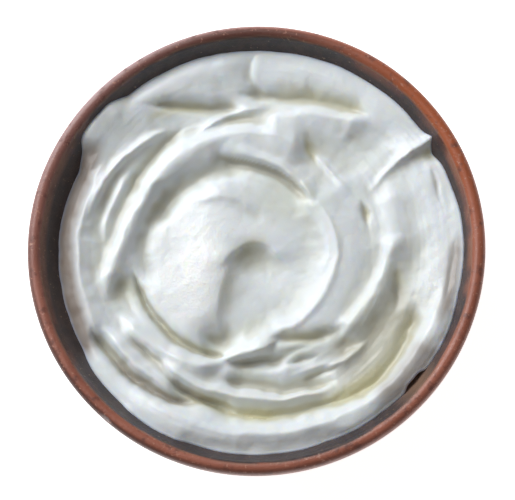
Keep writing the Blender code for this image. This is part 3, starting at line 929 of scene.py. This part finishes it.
def store_glaze(piece):
    """Mark where the bowl is glazed, where a highlight is painted along the glaze's upper edge, and
    where painted light lies beside the pocket.
    """
    x, y, z = points_of(piece)
    radius = np.hypot(x, y)
    angle = np.arctan2(y, x)
    turns = (angle + math.pi) / math.tau
    edge = RIM_RADIUS - LIP_WIDTH + GLAZE_TOP + around_lip(GLAZE_LOBES, angle)
    edge = edge + GLAZE_SWAY * random_field(z * 0.0, turns * GLAZE_WAVES, GLAZE_SEED, GLAZE_WAVES)
    inner = (radius < inner_radius(z) + GLAZE_BEHIND_WALL) & (z > FLOOR_HEIGHT - GLAZE_BELOW_FLOOR)
    store(piece, "glaze", smooth_step((edge - radius) / GLAZE_FADE) * inner)
    # Painted highlight as a pale line along the glaze's upper edge
    edge_highlight = np.exp(-(((radius - edge) / EDGE_HIGHLIGHT_WIDTH) ** 2))
    store(piece, "edge_highlight", EDGE_HIGHLIGHT_STRENGTH * edge_highlight * inner)
    # Painted light on the glaze beside the pocket
    store(piece, "pocket_light", around_lip(POCKET_LIGHT_LOBES, angle))


def store_firing(piece):
    """Mark where the clay is redder and duller with a painted sky reflection, and where painted
    shade and a painted highlight lie on the lip.
    """
    x, y, _ = points_of(piece)
    angle = np.arctan2(y, x)
    past_half = np.hypot(x, y) - RIM_RADIUS + OUTER_HALF * LIP_WIDTH
    outer_half = smooth_step(past_half / (OUTER_HALF_FADE * LIP_WIDTH))
    # Painted shade on the lip's outer half to the south-west and its inner half to the north
    dark = around_lip(OUTER_SHADE_LOBES, angle) * outer_half
    dark = dark + around_lip(INNER_SHADE_LOBES, angle) * (1.0 - outer_half)
    store(piece, "fired_red", around_lip(RED_LOBES, angle))
    # Duller clay with a painted sky reflection to the north-west
    store(piece, "dull_and_reflection", around_lip(DULL_AND_REFLECTION_LOBES, angle))
    store(piece, "painted_lip_shade", np.clip(dark, 0.0, 1.0))
    # Painted highlight on the lip's outer half to the north-west
    store(piece, "painted_lip_highlight", around_lip(LIP_HIGHLIGHT_LOBES, angle) * outer_half)


def build_bowl():
    """Clay bowl, turned from one closed profile."""
    shape = bmesh.new()
    profile = wall_points() + lip_points() + outside_points()
    verts = [shape.verts.new((radius, 0.0, height)) for radius, height in profile]
    edges = [shape.edges.new(pair) for pair in zip(verts, verts[1:])]
    bmesh.ops.spin(
        shape,
        geom=verts + edges,
        cent=(0.0, 0.0, 0.0),
        axis=(0.0, 0.0, 1.0),
        dvec=(0.0, 0.0, 0.0),
        angle=math.tau,
        steps=BOWL_SIDES,
        use_merge=True,
        use_duplicate=False,
    )
    bmesh.ops.remove_doubles(shape, verts=list(shape.verts), dist=WELD_DISTANCE)
    roughen_bowl(shape)
    bmesh.ops.recalc_face_normals(shape, faces=list(shape.faces))
    piece = add_piece("clay_bowl", shape, clay_finish())
    store_glaze(piece)
    store_firing(piece)
    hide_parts("bowl")
    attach(piece, "root")


# Stage

EYE_DISTANCE = 0.65
EYE_TILT = math.radians(12.2)
EYE_SIDE = Vector((0.224, -0.975, 0.0)).normalized()
LENS = 138.8
SENSOR_WIDTH = 36.0
NEAREST = 0.01
FRAME_WIDTH = 515.0
SHIFT_X = 2.1
SHIFT_Y = -4.5
TARGET = Vector((0.0, 0.0, BOWL_HEIGHT - 0.5 * LIP_WIDTH))
TABLE_SIZE = 3.0
ROOM_COLOUR = (1.0, 0.985, 0.945, 1.0)
ROOM_STRENGTH = 0.195

# The window's light, with its azimuth and elevation in degrees
WINDOW_AZIMUTH = 138
WINDOW_ELEVATION = 39
WINDOW_DISTANCE = 1.1
WINDOW_SIZE = 0.95
WINDOW_POWER = 14.3
WINDOW_COLOUR = (0.965, 0.985, 1.0)


def look_matrix(place, target, up):
    """Matrix of something at a place that looks at a target."""
    back = (place - target).normalized()
    side = up.cross(back).normalized()
    turn = Matrix((side, back.cross(side), back)).transposed().to_4x4()
    return Matrix.Translation(place) @ turn


def add_camera():
    """Camera a little south of straight above the bowl."""
    lens = bpy.data.cameras.new("camera")
    lens.lens = LENS
    lens.sensor_width = SENSOR_WIDTH
    lens.shift_x = SHIFT_X / FRAME_WIDTH
    lens.shift_y = SHIFT_Y / FRAME_WIDTH
    lens.clip_start = NEAREST
    camera = bpy.data.objects.new("camera", lens)
    bpy.context.scene.collection.objects.link(camera)
    away = EYE_SIDE * math.sin(EYE_TILT) + Vector((0.0, 0.0, math.cos(EYE_TILT)))
    camera.matrix_world = look_matrix(TARGET + away * EYE_DISTANCE, TARGET, Vector((0, 1, 0)))
    bpy.context.scene.camera = camera


def add_window():
    """Round soft light that looks at the bowl like a window to its upper left."""
    light = bpy.data.lights.new("window", "AREA")
    light.shape = "DISK"
    light.size = WINDOW_SIZE
    light.energy = WINDOW_POWER
    light.color = WINDOW_COLOUR
    turn = math.radians(WINDOW_AZIMUTH)
    rise = math.radians(WINDOW_ELEVATION)
    away = Vector((math.cos(rise) * math.cos(turn), math.cos(rise) * math.sin(turn), math.sin(rise)))
    window = bpy.data.objects.new("window", light)
    bpy.context.scene.collection.objects.link(window)
    window.matrix_world = look_matrix(TARGET + away * WINDOW_DISTANCE, TARGET, Vector((0, 0, 1)))


def add_room():
    """White table and pale surroundings."""
    shape = bmesh.new()
    bmesh.ops.create_grid(shape, x_segments=1, y_segments=1, size=TABLE_SIZE)
    floor = add_piece("table", shape, floor_finish())
    world = bpy.data.worlds.new("pale_room")
    world.use_nodes = True
    ground = world.node_tree.nodes["Background"].inputs
    ground["Color"].default_value = ROOM_COLOUR
    ground["Strength"].default_value = ROOM_STRENGTH
    bpy.context.scene.world = world


def main():
    """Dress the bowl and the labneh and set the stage."""
    build_bowl()
    build_labneh()
    add_room()
    add_window()
    add_camera()
    bpy.context.scene.view_settings.view_transform = "Standard"
    bpy.context.scene.view_settings.look = "None"


main()
